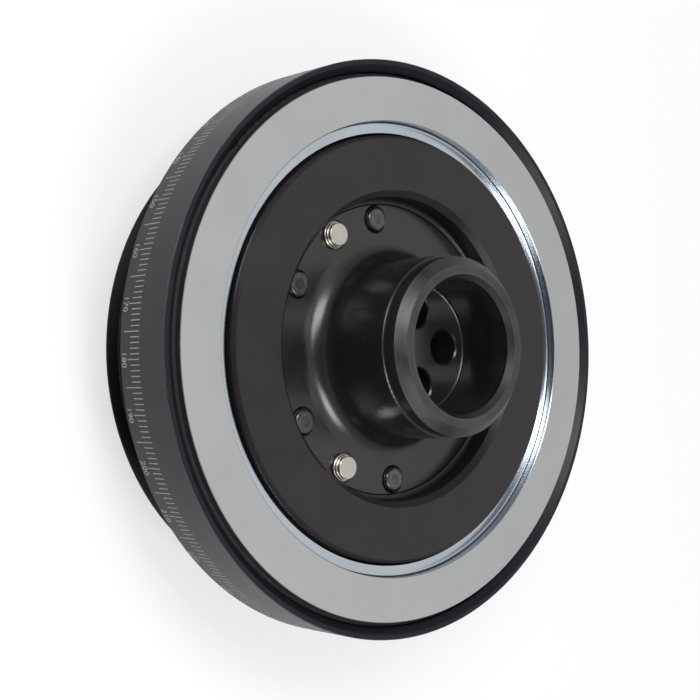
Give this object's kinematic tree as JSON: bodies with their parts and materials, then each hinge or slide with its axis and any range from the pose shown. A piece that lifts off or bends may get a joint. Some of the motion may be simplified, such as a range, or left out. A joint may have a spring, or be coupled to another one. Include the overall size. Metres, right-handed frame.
{
  "type": "harmonic balancer",
  "caption": "Crankshaft damper: steel inertia ring held on elastomer rings between two shells, with a flanged bored hub, degree scale and multi-rib belt pulley.",
  "frame": {"origin": "centre of the bounding box's base: on the crank axis, in the plane of the pulley's front rim", "axes": "+Z along the crank axis towards the engine, +X through one hub bolt, the scale's numbers rise anticlockwise seen from the engine"},
  "size_m": [0.19, 0.19, 0.0787],
  "materials": {
    "anodised_shell": "black anodised, fine turned, satin",
    "anodised_pulley": "black anodised, matt",
    "turned_steel": "faced and turned, bright",
    "oxide_steel": "turned, black oxide, oiled",
    "bolt_steel": "black oxide",
    "washer_steel": "zinc phosphated, dull grey",
    "pin_steel": "ground, bright",
    "elastomer": "matt black elastomer"
  },
  "bodies": {
    "root": {"outer_shell": "anodised_shell", "inner_shell": "anodised_shell", "pulley": "anodised_pulley", "inertia_ring": "turned_steel", "hub": "oxide_steel", "outer_oring_rear": "elastomer", "outer_oring_front": "elastomer", "inner_oring_rear": "elastomer", "inner_oring_front": "elastomer", "face_oring": "elastomer", "hub_bolt_1": "bolt_steel", "hub_bolt_2": "bolt_steel", "hub_bolt_3": "bolt_steel", "hub_bolt_4": "bolt_steel", "hub_bolt_5": "bolt_steel", "hub_bolt_6": "bolt_steel", "hub_washer_1": "washer_steel", "hub_washer_2": "washer_steel", "hub_washer_3": "washer_steel", "hub_washer_4": "washer_steel", "hub_washer_5": "washer_steel", "hub_washer_6": "washer_steel", "drive_pin_1": "pin_steel", "drive_pin_2": "pin_steel", "drive_pin_3": "pin_steel"}
  },
  "joints": []
}
